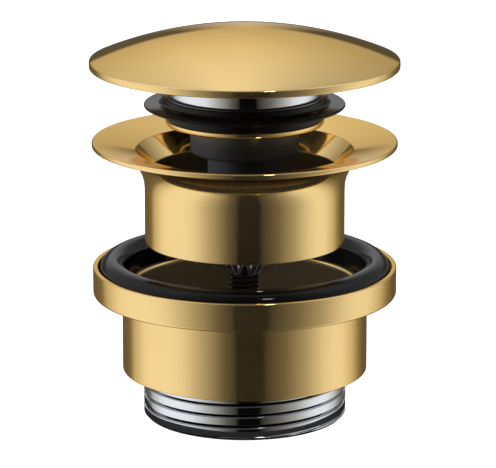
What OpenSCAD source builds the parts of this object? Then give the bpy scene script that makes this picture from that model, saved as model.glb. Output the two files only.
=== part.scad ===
// Push-open basin waste: a sprung plug, a dished flange with its collar, and a lower cup with a
// threaded outlet, drawn together through the basin wall by one central screw.
// Millimetres, +Z up, origin at the centre of the foot of the outlet thread, plug raised.

/* [Outlet tail] */
// Outside diameter of the outlet thread, G 1 1/4
thread_d = 41.91; // [38:0.01:44]
// Length of the outlet thread below the cup
thread_len = 9.65; // [8:0.05:16]
// Wall of the outlet from thread crest to water way
tail_wall = 2.8; // [2.5:0.1:3.4]
// Chamfer at the foot of the outlet thread
thread_chamfer = 0.6; // [0.3:0.1:1.2]
// Step from the thread crest in to the spigot that enters the cup
spigot_step = 1.4; // [1:0.1:1.6]
// Inward width of the lip that the bridge pulls against
tail_lip_w = 1.4; // [1:0.1:2]
// Height of that lip
tail_lip_h = 1.5; // [1:0.1:2.2]
// Thickness of the gasket between outlet and cup
gasket_h = 0.8; // [0.4:0.1:1.2]

/* [Lower cup] */
// Outside diameter of the cup body
cup_d = 50.6; // [48:0.1:56]
// Height of the cup body below its rim
cup_h = 16.05; // [12:0.05:24]
// Wall of the cup body
cup_wall = 2.6; // [2:0.1:3]
// Floor of the cup body
cup_floor = 2.5; // [2:0.1:4]
// Outside diameter of the cup rim
rim_d = 62.6; // [58:0.1:68]
// Height of the cup rim
rim_h = 5.9; // [5.2:0.05:8]
// Wall of the rim outside the seal
rim_wall = 1.1; // [0.8:0.1:1.8]
// Depth of the seal seat below the top of the rim
seat_depth = 3.75; // [3:0.05:4.4]
// Rounding of the cup's edges
cup_round = 0.3; // [0.2:0.1:1]
// Rounding inside, where the cup wall meets its floor
floor_round = 2; // [0.5:0.1:3]

/* [Cup seal] */
// Width of the round bead of the cup seal
bead_w = 5.4; // [4:0.1:6]
// Height of the bead above the rim
bead_proud = 1.85; // [1.2:0.05:3]
// Inward reach of the seal's foot past the bead
seal_foot_w = 0.9; // [0.4:0.1:1.2]

/* [Screw bridge] */
// Width of the bridge's ring
bridge_ring_w = 2; // [1.5:0.1:3]
// Height of the bridge's ring
bridge_ring_h = 2.6; // [2:0.1:4]
// Thickness of the bridge's four ribs
bridge_rib_t = 2.4; // [1.6:0.1:4]
// Rise of the bridge's hub above its ring
bridge_rise = 8.3; // [6:0.1:9]
// Roof of the hub above the nut
bridge_roof = 2.3; // [1.5:0.1:3]
// Wall of the hub around the nut
nut_wall = 1.6; // [1.2:0.1:2.4]
// Nut size across flats
nut_af = 10; // [8:0.1:12]
// Nut height
nut_h = 5; // [4:0.1:6]

/* [Fixing screw] */
// Thread diameter of the fixing screw, M6
screw_d = 6; // [5:0.1:7]
// Length of screw below the nut
screw_tail = 2.6; // [1:0.1:6]
// Head diameter
head_d = 10; // [8.5:0.1:10.6]
// Head height
head_h = 3.5; // [2.5:0.1:4.5]
// Hexagon socket size across flats
socket_af = 4; // [3:0.1:5]
// Hexagon socket depth
socket_deep = 2; // [1:0.1:2.4]
// Washer thickness
washer_h = 0.8; // [0.5:0.1:1.6]
// Overhang of the washer past the head
washer_over = 0.5; // [0.2:0.1:0.8]

/* [Basin flange] */
// Clear height from the seal bead to the edge of the flange
clamp_gap = 23.35; // [18:0.05:30]
// Outside diameter of the flange
flange_d = 62.6; // [58:0.1:70]
// Thickness of the flange at its edge
flange_edge = 1.2; // [0.9:0.1:2]
// Rounding of the flange's edge
edge_round = 0.35; // [0.1:0.05:0.45]
// Height of the flange and its collar
flange_h = 21.3; // [20:0.1:26]
// Outside diameter of the collar
collar_d = 41.1; // [40:0.1:43]
// Wall of the collar
collar_wall = 1.5; // [1.2:0.1:2]
// Fall of the dished top towards the throat, in degrees
dish_angle = 12; // [8:0.5:16]
// Rounding of the throat
throat_round = 7.5; // [5:0.1:8.5]
// Width of the flat seat under the edge
seat_w = 1.8; // [1.2:0.1:2.4]
// Fall of the flange's underside towards the collar, in degrees
under_angle = 20; // [16:1:24]
// Rounding between underside and collar
under_round = 8; // [7:0.1:9]
// Inward width of the ledge that carries the spider
ledge_w = 1.3; // [0.8:0.1:2]
// Height of that ledge
ledge_h = 2.15; // [1.2:0.05:3]

/* [Hub spider] */
// Width of the spider's ring
spider_ring_w = 1.7; // [1.2:0.1:2.5]
// Height of the spider's ring
spider_ring_h = 3; // [2:0.1:4]
// Thickness of the spider's four ribs
spider_rib_t = 2.2; // [1.5:0.1:3.5]
// Wall of the hub around the post
hub_wall = 1.75; // [1.2:0.1:2.5]
// Depth of the socket for the post
socket_depth = 3.5; // [2.5:0.1:5]
// Depth of the well for the screw head below the post
head_well = 2.5; // [1.5:0.1:4]
// Wall of the hub's cone around the screw at its tip
tip_wall = 0.5; // [0.4:0.1:1.2]
// Reach of the ribs past the cone
rib_proud = 1.4; // [0.8:0.1:2.5]

/* [Latch post] */
// Outside diameter of the post
post_d = 15.1; // [14.4:0.1:16]
// Wall of the post
post_wall = 1.5; // [1.3:0.1:1.7]
// Floor of the post under the spring
post_floor = 1.5; // [1:0.1:2.5]
// Length of post inside the sleeve with the plug raised
post_overlap = 2.5; // [2.2:0.1:5]
// Depth of the track pins below the top of the post
pin_inset = 1.6; // [1.5:0.1:4]
// Diameter of the track pins
pin_d = 1.6; // [1.2:0.1:2]

/* [Plug] */
// Travel of the plug from raised to closed
travel = 10.8; // [8:0.1:11.4]
// Reach of the seal's lip past the wall of the throat
lip_over = 1.55; // [0.8:0.05:2.4]
// Thickness of the lip
lip_t = 0.6; // [0.4:0.1:1]
// Height of the lip above the foot of the seal
lip_rise = 2.4; // [1.6:0.1:3]
// Rounding where the lip leaves the seal
lip_fillet = 1; // [0.2:0.1:1.2]
// Height of the whole seal
lip_seal_h = 4.7; // [4:0.1:6]
// Wall of the seal's upper collar
lip_collar_w = 1.3; // [1:0.1:2]
// Rounding on top of that collar
lip_collar_round = 0.3; // [0.1:0.1:0.6]
// Depth of the seal's groove in the carrier
carrier_groove = 1.4; // [1:0.1:2]
// Outside diameter of the carrier
carrier_d = 31.2; // [29:0.1:34]
// Wall of the carrier inside the groove
carrier_wall = 2; // [1.5:0.1:2.6]
// Floor of the carrier
carrier_floor = 2; // [1.5:0.1:3]
// Outside diameter of the ring under the seal
ring_d = 32.5; // [30:0.1:36]
// Thickness of the ring
ring_h = 1.15; // [0.8:0.05:2]
// Outside diameter of the sleeve
sleeve_d = 22.3; // [21:0.1:24]
// Length of sleeve below the ring
sleeve_h = 6; // [5:0.1:8]
// Wall of the sleeve's neck
neck_wall = 1.7; // [1.3:0.1:2]
// Roof of the sleeve above its cavity
sleeve_roof = 3.7; // [3.5:0.1:6]

/* [Plug cap] */
// Diameter of the cap
cap_d = 63.4; // [58:0.1:70]
// Height of the cap from the edge of its rim to its crown
cap_rise = 8; // [6.5:0.1:10]
// Height of the cap's rim
cap_rim_h = 1.5; // [0.9:0.1:2]
// Width of the foot of the rim
cap_rim_w = 1.8; // [1.2:0.1:3]
// Rounding of the rim's upper edge
cap_round = 0.4; // [0.2:0.1:1.1]
// Thickness of the cap's dome
cap_shell = 1.8; // [1.2:0.1:2.4]
// Height of the cap's pad above the edge of the rim
pad_rise = 3.3; // [2.4:0.1:3.6]
// Width of the pad outside the carrier
pad_over = 0.8; // [0.3:0.1:2]
// Diameter of the stud between cap and sleeve
stud_d = 6; // [4:0.1:8]
// Depth of the stud in the sleeve's roof
stud_down = 3; // [2:0.1:3.2]
// Depth of the stud in the cap's pad
stud_up = 3; // [2:0.1:3.4]

/* [Cam drum and spring] */
// Wall of the drum
drum_wall = 2; // [1.7:0.1:2.2]
// Overhang of the drum's head
drum_head_w = 1; // [0.8:0.05:1.1]
// Thickness of the drum's head
drum_head_h = 1; // [0.8:0.1:2]
// Depth of the cam track
track_deep = 1.1; // [0.8:0.1:1.3]
// Turn of the drum over the plug's travel, in degrees
index_turn = 45; // [30:1:50]
// Travel of the track past the closed position
overtravel = 0.8; // [0.6:0.1:1.2]
// Height of the ring that carries the drum
retainer_h = 1.2; // [0.8:0.1:2]
// Diameter of the spring wire
wire_d = 0.9; // [0.6:0.05:1.1]
// Turns of the spring
spring_turns = 9; // [6:1:11]
// Thickness of the washer on top of the spring
spring_seat_h = 1; // [0.6:0.1:1.4]

/* [Clearances] */
// Gap between seated pieces
fit_gap = 0.05; // [0.02:0.01:0.1]
// Gap between pieces that slide or turn
slide_gap = 0.1; // [0.05:0.01:0.15]
// Gap between pieces that pass each other
pass_gap = 0.3; // [0.2:0.05:0.5]
// Chamfer on moulded edges
mould_edge = 0.4; // [0.2:0.1:0.6]
// Room at the end of a movement
end_gap = 0.5; // [0.3:0.1:1]
// Gap between the closed lip and the throat
lip_gap = 0.3; // [0.2:0.05:0.5]

/* [Hidden] */
$fn = 96;
arc_steps = 10;
edge_steps = 5; // facets of a small rounding
rib_count = 4;
pin_count = 3;
sink = 0.4; // how far a rib runs into the ring or hub that it grows from
over = 1; // how far a cutter runs past the face that it cuts

gold = [0.89, 0.73, 0.42];
chrome = [0.80, 0.81, 0.83];
steel = [0.66, 0.67, 0.69];
rubber = [0.10, 0.10, 0.11];
plastic = [0.27, 0.28, 0.30];

// Outlet tail and lower cup, from the foot up
thread_r = thread_d / 2;
bore_r = thread_r - tail_wall;
spigot_r = thread_r - spigot_step;
tail_lip_r = bore_r - tail_lip_w;
cup_r = cup_d / 2;
cup_bore_r = cup_r - cup_wall;
rim_r = rim_d / 2;
pocket_r = rim_r - rim_wall;
floor_z = thread_len + cup_floor;
rim_z = thread_len + cup_h;
rim_top = rim_z + rim_h;
seat_z = rim_top - seat_depth;

// Cup seal
bead_r = bead_w / 2;
bead_top = rim_top + bead_proud;
bead_z = bead_top - bead_r;
seal_out_r = pocket_r - pass_gap;
seal_in_r = seal_out_r - bead_w - seal_foot_w;

// Screw bridge and nut
bridge_z = floor_z - tail_lip_h - bridge_ring_h;
bridge_out_r = bore_r - fit_gap;
bridge_in_r = bridge_out_r - bridge_ring_w;
bridge_hub_top = bridge_z + bridge_ring_h + bridge_rise;
nut_z = bridge_hub_top - bridge_roof - nut_h;
nut_r = nut_af / 2 / cos(30);
bridge_hub_r = nut_r + fit_gap + nut_wall;

// Flange, hung above the seal by the clamping gap
flange_r = flange_d / 2;
flange_under = bead_top + clamp_gap;
flange_top = flange_under + flange_edge;
collar_z = flange_top - flange_h;
collar_r = collar_d / 2;
throat_r = collar_r - collar_wall;
throat_cx = throat_r + throat_round;
dish_r = flange_r - edge_round;
throat_cz = flange_top - throat_round * cos(dish_angle)
    - (dish_r - throat_cx + throat_round * sin(dish_angle)) * tan(dish_angle);
under_cx = collar_r + under_round;
seat_in_r = dish_r - seat_w;
under_cz = flange_under - under_round * cos(under_angle)
    - (seat_in_r - under_cx + under_round * sin(under_angle)) * tan(under_angle);
ledge_r = throat_r - ledge_w;
ledge_z = collar_z + ledge_h;

// Spider, screw and post
spider_out_r = throat_r - fit_gap;
spider_in_r = spider_out_r - spider_ring_w;
hub_top = ledge_z + spider_ring_h;
post_z = hub_top - socket_depth;
post_r = post_d / 2;
post_bore_r = post_r - post_wall;
post_socket_r = post_r + fit_gap;
hub_r = post_socket_r + hub_wall;
screw_r = screw_d / 2;
screw_hole_r = screw_r + slide_gap;
tip_r = screw_hole_r + tip_wall;
screw_seat_z = post_z - head_well;
tip_z = screw_seat_z - (hub_r - tip_r);
head_r = head_d / 2;
washer_r = head_r + washer_over;
well_r = washer_r + pass_gap;
head_z = screw_seat_z + washer_h;
screw_end_z = nut_z - screw_tail;
spring_floor_z = head_z + head_h + end_gap;
spring_z = spring_floor_z + post_floor;

// Plug, set by where its lip meets the throat and by its travel
lip_r = throat_r + lip_over;
lip_closed_z = throat_cz + sqrt(pow(throat_round, 2) - pow(throat_cx - lip_r, 2)) + lip_gap;
lip_z = lip_closed_z + travel;
seal_z = lip_z - lip_rise;
seal_top = seal_z + lip_seal_h;
carrier_r = carrier_d / 2;
groove_r = carrier_r - carrier_groove;
ring_r = ring_d / 2;
ring_z = seal_z - ring_h;
sleeve_r = sleeve_d / 2;
sleeve_z = ring_z - sleeve_h;
cavity_r = post_r + slide_gap;
neck_r = cavity_r + neck_wall;
post_top = sleeve_z + post_overlap;

// Latch inside the sleeve
pin_r = pin_d / 2;
pin_z = post_top - pin_inset;
drum_r = post_bore_r - 2 * slide_gap;
drum_bore_r = drum_r - drum_wall;
track_r = drum_r - track_deep;
track_w = pin_d + 2 * pass_gap;
retainer_z = post_top + travel + overtravel + pass_gap;
drum_head_z = retainer_z + retainer_h + slide_gap;
drum_top = drum_head_z + drum_head_h;
drum_z = pin_z - track_w / 2 - 2 * end_gap;
cavity_top = drum_top + end_gap;
spring_top = cavity_top - spring_seat_h;
wire_r = wire_d / 2;
coil_r = drum_bore_r - pass_gap - wire_r;

// Cap, seated on the sleeve's roof
pad_z = cavity_top + sleeve_roof;
cap_z = pad_z - pad_rise;
cap_top = cap_z + cap_rise;
cap_r = cap_d / 2;
cap_sag = cap_rise - cap_rim_h;
cap_sphere_r = (pow(cap_r, 2) + pow(cap_sag, 2)) / (2 * cap_sag);
cap_sphere_z = cap_top - cap_sphere_r;
pad_r = carrier_r + pad_over;
stud_r = stud_d / 2;

// Points on an arc from angle a0 to a1
function arc(cx, cz, r, a0, a1, n = arc_steps) =
    [for (i = [0:n]) let (a = a0 + (a1 - a0) * i / n) [cx + r * cos(a), cz + r * sin(a)]];

// Height of a sphere about the axis, at radius x
function dome_z(x, r) = cap_sphere_z + sqrt(r * r - x * x);

// A plain ring about the axis
module ring(out_r, in_r, z0, h) {
    translate([0, 0, z0])
        difference() {
            cylinder(r = out_r, h = h);
            translate([0, 0, -over]) cylinder(r = in_r, h = h + 2 * over);
        }
}

// Upright ribs about the axis, each cut from an outline of radius and height
module ribs(thickness, outline) {
    for (i = [0:rib_count - 1])
        rotate(i * 360 / rib_count) rotate([90, 0, 0])
            linear_extrude(height = thickness, center = true) polygon(outline);
}

// Domed cap: a thin shell with a rolled rim and a pad in the middle for the carrier
module plug_cap() {
    inner_r = cap_sphere_r - cap_shell;
    rim_in_r = cap_r - cap_rim_w;
    edge_x = cap_r - cap_round;
    edge_z = dome_z(edge_x, cap_sphere_r - cap_round);
    edge_turn = acos(edge_x / (cap_sphere_r - cap_round));
    crown_x = edge_x + cap_round * cos(edge_turn);
    foot_round = cap_rim_h / 4;
    steps = arc_steps * 2;
    color(gold)
        difference() {
            rotate_extrude() polygon(concat(
                [[0, pad_z], [pad_r, pad_z], [pad_r, dome_z(pad_r, inner_r)]],
                [for (i = [1:arc_steps])
                    let (x = pad_r + (rim_in_r - pad_r) * i / arc_steps) [x, dome_z(x, inner_r)]],
                [[rim_in_r, cap_z]],
                arc(cap_r - foot_round, cap_z + foot_round, foot_round, -90, 0, edge_steps),
                arc(edge_x, edge_z, cap_round, 0, edge_turn, edge_steps),
                [for (i = [steps - 1:-1:0]) let (x = crown_x * i / steps) [x, dome_z(x, cap_sphere_r)]]));
            translate([0, 0, pad_z - over]) cylinder(r = stud_r + fit_gap, h = stud_up + fit_gap + over);
        }
}

// Threaded stud between the cap's pad and the sleeve's roof
module cap_stud() {
    color(steel) translate([0, 0, pad_z - stud_down]) cylinder(r = stud_r, h = stud_down + stud_up);
}

// Bright cup that carries the lip seal in a groove at its foot
module seal_carrier() {
    inner_r = groove_r - carrier_wall;
    color(chrome) rotate_extrude() polygon([
        [neck_r + fit_gap, seal_z], [groove_r, seal_z], [groove_r, seal_top], [carrier_r, seal_top],
        [carrier_r, pad_z], [inner_r, pad_z], [inner_r, seal_z + carrier_floor],
        [neck_r + fit_gap, seal_z + carrier_floor]]);
}

// Lip seal: a moulded ring with a thin flat lip and a rounded upper collar
module lip_seal() {
    in_r = groove_r + fit_gap;
    body_r = carrier_r + lip_collar_w;
    foot_r = ring_r;
    round_r = lip_t / 2;
    color(rubber) rotate_extrude() polygon(concat(
        [[in_r, seal_z], [foot_r, seal_z]],
        arc(foot_r + lip_fillet, lip_z - lip_fillet, lip_fillet, 180, 90, edge_steps),
        arc(lip_r - round_r, lip_z + round_r, round_r, -90, 90),
        arc(body_r + lip_fillet, lip_z + lip_t + lip_fillet, lip_fillet, 270, 180, edge_steps),
        arc(body_r - lip_collar_round, seal_top - fit_gap - lip_collar_round, lip_collar_round,
            0, 90, edge_steps),
        [[in_r, seal_top - fit_gap]]));
}

// Thin ring that holds the lip seal up against the carrier
module seal_ring() {
    edge = ring_h / 4;
    color(gold) rotate_extrude() polygon([
        [neck_r + fit_gap, ring_z], [ring_r - edge, ring_z], [ring_r, ring_z + edge],
        [ring_r, seal_z - edge], [ring_r - edge, seal_z], [neck_r + fit_gap, seal_z]]);
}

// Moulded sleeve: a skirt that runs on the post, and a closed neck inside the carrier
module push_sleeve() {
    color(plastic)
        difference() {
            rotate_extrude() polygon([
                [cavity_r, sleeve_z], [sleeve_r - mould_edge, sleeve_z], [sleeve_r, sleeve_z + mould_edge],
                [sleeve_r, ring_z], [neck_r, ring_z], [neck_r, pad_z], [0, pad_z], [0, cavity_top],
                [cavity_r, cavity_top]]);
            translate([0, 0, pad_z - stud_down - fit_gap])
                cylinder(r = stud_r + fit_gap, h = stud_down + fit_gap + over);
        }
}

// Ring fixed in the sleeve's neck, on which the drum hangs
module drum_retainer() {
    color(steel) ring(cavity_r - fit_gap, drum_r + slide_gap, retainer_z, retainer_h);
}

// Height of the pins' path round the drum, as a push-push loop: down, over the latch point, back up
function path_z(turn) =
    let (loop_a = 360 / pin_count, low_z = pin_z + travel + overtravel, slope = travel / index_turn,
         across = min(turn % loop_a, loop_a - turn % loop_a), low_a = (travel + overtravel) / slope)
    across < low_a ? pin_z + slope * across
        : low_z - overtravel * (across - low_a) / (loop_a / 2 - low_a);

// Cutter for the cam track: the space that a pin with its clearance sweeps along its path
module track_cutter() {
    columns = pin_count * 24;
    step = 360 / columns;
    reach = track_w / 2;
    near = ceil(reach / (track_r * step * PI / 180));
    // Half height of the pin's outline, a share of the column spacing to the side
    function half(k) = sqrt(max(0, pow(reach, 2) - pow(k * track_r * step * PI / 180, 2)));
    low = [for (i = [0:columns - 1])
        min([for (k = [-near:near]) path_z((i + k + columns) * step) - half(k)])];
    high = [for (i = [0:columns - 1])
        max([for (k = [-near:near]) path_z((i + k + columns) * step) + half(k)])];
    points = [for (i = [0:columns - 1], z = [low[i], high[i]], r = [track_r, drum_r + over])
        [r * cos(-i * step), r * sin(-i * step), z]];
    faces = [for (i = [0:columns - 1], f = [[0, 1], [1, 3], [3, 2], [2, 0]])
        let (a = i * 4, b = (i + 1) % columns * 4) [b + f[0], b + f[1], a + f[1], a + f[0]]];
    polyhedron(points, faces, convexity = 10);
}

// Indexing drum: a headed tube with a closed zig-zag track that the pins run in
module cam_drum() {
    color(plastic)
        difference() {
            union() {
                translate([0, 0, drum_z]) cylinder(r = drum_r, h = drum_top - drum_z);
                translate([0, 0, drum_head_z]) cylinder(r = drum_r + drum_head_w, h = drum_head_h);
            }
            translate([0, 0, drum_z - over]) cylinder(r = drum_bore_r, h = drum_top - drum_z + 2 * over);
            track_cutter();
        }
}

// Thrust washer between the spring and the sleeve's roof
module spring_seat() {
    color(steel) ring(drum_bore_r - slide_gap, coil_r - 2 * wire_r, spring_top, spring_seat_h);
}

// Compression spring: a round wire swept along a helix with a closed turn at each end
module return_spring() {
    sides = 8;
    steps = 20;
    low = spring_z + wire_r;
    rise = spring_top - spring_z - wire_d;
    count = spring_turns * steps;
    dead_turn = wire_d / rise;
    // Share of the rise at turn t: one closed turn at each end and an even pitch between
    function share(t) = t < 1 ? dead_turn * t
        : t > spring_turns - 1 ? 1 - dead_turn * (spring_turns - t)
        : dead_turn + (1 - 2 * dead_turn) * (t - 1) / (spring_turns - 2);
    points = [for (i = [0:count], j = [0:sides - 1])
        let (a = 360 * i / steps, b = 360 * (j + 0.5) / sides, r = coil_r + wire_r * cos(b))
        [r * cos(a), r * sin(a), low + rise * share(i / steps) + wire_r * sin(b)]];
    walls = [for (i = [0:count - 1], j = [0:sides - 1])
        let (k = (j + 1) % sides)
        [i * sides + j, i * sides + k, (i + 1) * sides + k, (i + 1) * sides + j]];
    ends = [[for (j = [sides - 1:-1:0]) j], [for (j = [0:sides - 1]) count * sides + j]];
    color(steel) polyhedron(points, concat(walls, ends), convexity = 10);
}

// Fixed post: a tube on the spider's hub that guides the sleeve and holds spring and pins
module latch_post() {
    color(plastic)
        difference() {
            rotate_extrude() polygon([
                [0, spring_floor_z], [post_bore_r, spring_floor_z], [post_bore_r, post_z], [post_r, post_z],
                [post_r, post_top - mould_edge], [post_r - mould_edge, post_top], [post_bore_r, post_top],
                [post_bore_r, spring_z], [0, spring_z]]);
            for (i = [0:pin_count - 1])
                rotate(i * 360 / pin_count) translate([track_r, 0, pin_z]) rotate([0, 90, 0])
                    cylinder(r = pin_r + fit_gap, h = post_r);
        }
}

// Steel pins through the wall of the post into the cam track
module track_pins() {
    tip = track_r + 2 * slide_gap;
    color(steel)
        for (i = [0:pin_count - 1])
            rotate(i * 360 / pin_count) translate([tip, 0, pin_z]) rotate([0, 90, 0])
                cylinder(r = pin_r, h = post_r - slide_gap - tip);
}

// Dished flange with a trumpet throat, a cylindrical collar and a ledge for the spider
module basin_flange() {
    color(gold) rotate_extrude() polygon(concat(
        [[ledge_r, collar_z], [collar_r, collar_z]],
        arc(under_cx, under_cz, under_round, 180, 90 + under_angle),
        [[seat_in_r, flange_under]],
        arc(dish_r, flange_under + edge_round, edge_round, -90, 0, edge_steps),
        arc(dish_r, flange_top - edge_round, edge_round, 0, 90, edge_steps),
        arc(throat_cx, throat_cz, throat_round, 90 + dish_angle, 180),
        [[throat_r, ledge_z], [ledge_r, ledge_z]]));
}

// Four-armed spider: a ring on the flange's ledge and a conical hub for post and screw
module hub_spider() {
    rib_top = hub_top - sink;
    rib_foot = tip_z + sink;
    cone_in = hub_r - sink;
    color(chrome)
        difference() {
            union() {
                ring(spider_out_r, spider_in_r, ledge_z, spider_ring_h);
                rotate_extrude() polygon([[0, tip_z], [tip_r, tip_z], [hub_r, screw_seat_z],
                    [hub_r, hub_top], [0, hub_top]]);
                ribs(spider_rib_t, [
                    [cone_in, rib_top], [spider_in_r + sink, rib_top], [spider_in_r + sink, ledge_z],
                    [hub_r + 2 * rib_proud, (ledge_z + screw_seat_z) / 2 + sink],
                    [hub_r + rib_proud, screw_seat_z],
                    [tip_r + rib_proud, rib_foot], [tip_r, rib_foot], [cone_in, screw_seat_z]]);
            }
            translate([0, 0, post_z]) cylinder(r = post_socket_r, h = socket_depth + over);
            translate([0, 0, screw_seat_z]) cylinder(r = well_r, h = head_well + over);
            translate([0, 0, tip_z - over]) cylinder(r = screw_hole_r, h = screw_seat_z - tip_z + 2 * over);
        }
}

// Central screw with a hexagon socket head, from the spider's hub down through the nut
module fixing_screw() {
    tip = screw_r / 4;
    color(steel)
        difference() {
            rotate_extrude() polygon([
                [0, screw_end_z], [screw_r - tip, screw_end_z], [screw_r, screw_end_z + tip],
                [screw_r, head_z], [head_r, head_z], [head_r, head_z + head_h - tip / 2],
                [head_r - tip / 2, head_z + head_h], [0, head_z + head_h]]);
            translate([0, 0, head_z + head_h - socket_deep])
                cylinder(r = socket_af / 2 / cos(30), h = socket_deep + over, $fn = 6);
        }
}

// Washer under the screw's head
module screw_washer() {
    color(steel) ring(washer_r, screw_hole_r, screw_seat_z, washer_h);
}

// Gold cup: wide rim with a seat for the seal, body, and a floor that the outlet bears against
module lower_cup() {
    c = cup_round;
    f = floor_round;
    hole_r = spigot_r + fit_gap;
    color(gold) rotate_extrude() polygon(concat(
        [[hole_r, thread_len]],
        arc(cup_r - c, thread_len + c, c, -90, 0, edge_steps),
        [[cup_r, rim_z]],
        arc(rim_r - c, rim_z + c, c, -90, 0, edge_steps),
        arc(rim_r - c, rim_top - c, c, 0, 90, edge_steps),
        arc(pocket_r + c, rim_top - c, c, 90, 180, edge_steps),
        [[pocket_r, seat_z]],
        arc(cup_bore_r + c, seat_z - c, c, 90, 180, edge_steps),
        arc(cup_bore_r - f, floor_z + f, f, 0, -90),
        [[hole_r, floor_z]]));
}

// Rubber ring with a round bead, seated in the rim of the cup
module cup_seal() {
    color(rubber) rotate_extrude() polygon(concat(
        [[seal_in_r, seat_z], [seal_out_r, seat_z]],
        arc(seal_out_r - bead_r, bead_z, bead_r, 0, 180, 2 * arc_steps)));
}

// Threaded outlet: drawn up against the cup's floor, with a lip inside that holds the bridge
module outlet_tail() {
    shoulder_z = thread_len - gasket_h;
    lip_under = floor_z - tail_lip_h;
    color(chrome) rotate_extrude() polygon([
        [bore_r, 0], [thread_r - thread_chamfer, 0], [thread_r, thread_chamfer],
        [thread_r, shoulder_z], [spigot_r, shoulder_z], [spigot_r, floor_z],
        [tail_lip_r, floor_z], [tail_lip_r, lip_under], [bore_r, lip_under]]);
}

// Flat gasket between the outlet's shoulder and the cup's floor
module tail_gasket() {
    color(rubber) ring(thread_r - fit_gap, spigot_r + fit_gap, thread_len - gasket_h, gasket_h);
}

// Bridge in the outlet: a ring under the lip, four ribs and a raised hub that holds the nut
module screw_bridge() {
    hub_z = nut_z - sink;
    ring_top = bridge_z + bridge_ring_h;
    rib_in = bridge_hub_r - sink;
    rib_out = bridge_in_r + sink;
    color(chrome)
        difference() {
            union() {
                ring(bridge_out_r, bridge_in_r, bridge_z, bridge_ring_h);
                translate([0, 0, hub_z]) cylinder(r = bridge_hub_r, h = bridge_hub_top - hub_z);
                ribs(bridge_rib_t, [
                    [rib_in, hub_z + sink], [rib_out, bridge_z + sink], [rib_out, ring_top - sink],
                    [rib_in, bridge_hub_top - bridge_roof]]);
            }
            translate([0, 0, hub_z - over]) cylinder(r = screw_hole_r, h = bridge_hub_top - hub_z + 2 * over);
            translate([0, 0, hub_z - over])
                cylinder(r = nut_r + fit_gap, h = nut_z + nut_h - hub_z + over, $fn = 6);
        }
}

// Hexagon nut in the bridge's hub
module bridge_nut() {
    color(steel)
        difference() {
            translate([0, 0, nut_z]) cylinder(r = nut_r, h = nut_h, $fn = 6);
            translate([0, 0, nut_z - over]) cylinder(r = screw_r + fit_gap, h = nut_h + 2 * over);
        }
}

plug_cap();
cap_stud();
seal_carrier();
lip_seal();
seal_ring();
push_sleeve();
drum_retainer();
cam_drum();
spring_seat();
return_spring();
latch_post();
track_pins();
basin_flange();
hub_spider();
fixing_screw();
screw_washer();
lower_cup();
cup_seal();
outlet_tail();
tail_gasket();
screw_bridge();
bridge_nut();
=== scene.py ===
# Looks of the push-open basin waste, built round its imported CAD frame.
# Lengths are in millimetres until a mesh is made, +Z is up and the camera looks along +Y.

import math

import bmesh
import bpy
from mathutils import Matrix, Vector


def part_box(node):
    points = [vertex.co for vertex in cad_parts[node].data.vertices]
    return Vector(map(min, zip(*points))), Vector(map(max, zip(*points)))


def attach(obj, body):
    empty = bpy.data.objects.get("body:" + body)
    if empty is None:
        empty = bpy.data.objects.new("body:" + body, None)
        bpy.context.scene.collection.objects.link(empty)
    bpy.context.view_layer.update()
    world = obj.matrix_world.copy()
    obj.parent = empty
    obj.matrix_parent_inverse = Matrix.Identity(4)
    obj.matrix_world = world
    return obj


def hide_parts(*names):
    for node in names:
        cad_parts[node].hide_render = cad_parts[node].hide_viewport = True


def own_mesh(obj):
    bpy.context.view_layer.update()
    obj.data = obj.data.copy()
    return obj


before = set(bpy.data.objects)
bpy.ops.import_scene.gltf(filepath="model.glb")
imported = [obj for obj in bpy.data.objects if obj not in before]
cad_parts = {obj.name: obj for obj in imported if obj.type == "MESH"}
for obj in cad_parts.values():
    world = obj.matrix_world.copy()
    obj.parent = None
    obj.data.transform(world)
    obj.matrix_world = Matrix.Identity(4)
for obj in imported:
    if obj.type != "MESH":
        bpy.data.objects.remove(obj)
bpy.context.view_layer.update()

MM = 0.001
COLUMNS = 168
ARC_STEP = math.radians(10)
SHARP_ANGLE = math.radians(34)
MERGE_M = 1e-7
SLIVER_M = 1e-8

# Photo frame and the camera fitted to it
IMAGE_W = 496
FOCAL_PX = 3400
SENSOR_W = 36
CAMERA_DISTANCE = 700
CAMERA_ELEVATION = math.radians(14.3)
AIM = Vector((0.68, 0, 38))

# Roundings of edges, from crisp to wide
CRISP = 0.15
FINE = 0.2
NEAT = 0.25
SOFT = 0.3
EASED = 0.35
PLUMP = 0.4
FULL = 0.5
WIDE = 0.6
ROUND_SHARE = 0.49

# Sizes that the boxes of the CAD nodes do not give
FIT = 0.05
CAP_RIM_H = 1.5
CAP_RIM_W = 1.8
CAP_SHELL = 1.8
CAP_PAD_R = 16.4
CAP_PAD_RISE = 3.3
CARRIER_GROOVE = 1.4
CARRIER_WALL = 2
CARRIER_FLOOR = 2
LIP_RISE = 2.4
LIP_T = 0.6
LIP_COLLAR_W = 1.3
LIP_COLLAR_ROUND = 0.3
LIP_FILLET = 1
NECK_R = 9.35
CAVITY_R = 7.65
SLEEVE_H = 6
SLEEVE_ROOF = 3.7
POST_BORE_R = 6.05
POST_WELL = 2.3
POST_FLOOR = 1.5
COLLAR_R = 20.55
THROAT_R = 19.05
THROAT_ROUND = 7.5
SEAT_ANGLE = math.radians(52.5)
DISH_ANGLE = math.radians(12)
UNDER_ROUND = 8
UNDER_ANGLE = math.radians(20)
SEAT_W = 1.8
SEAT_ROUND = 1
FLANGE_EDGE = 1.2
EDGE_ROUND = 0.35
LEDGE_R = 17.75
LEDGE_H = 2.15
SPIDER_RING_W = 1.7
SPIDER_RING_H = 3
SPIDER_RIB_T = 2.2
SPIDER_HUB_R = 9.35
SPIDER_SOCKET_R = 7.6
SPIDER_SOCKET_DEEP = 3.5
SPIDER_WELL_R = 5.8
SPIDER_WELL_DEEP = 2.5
SPIDER_TIP_R = 3.6
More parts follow.
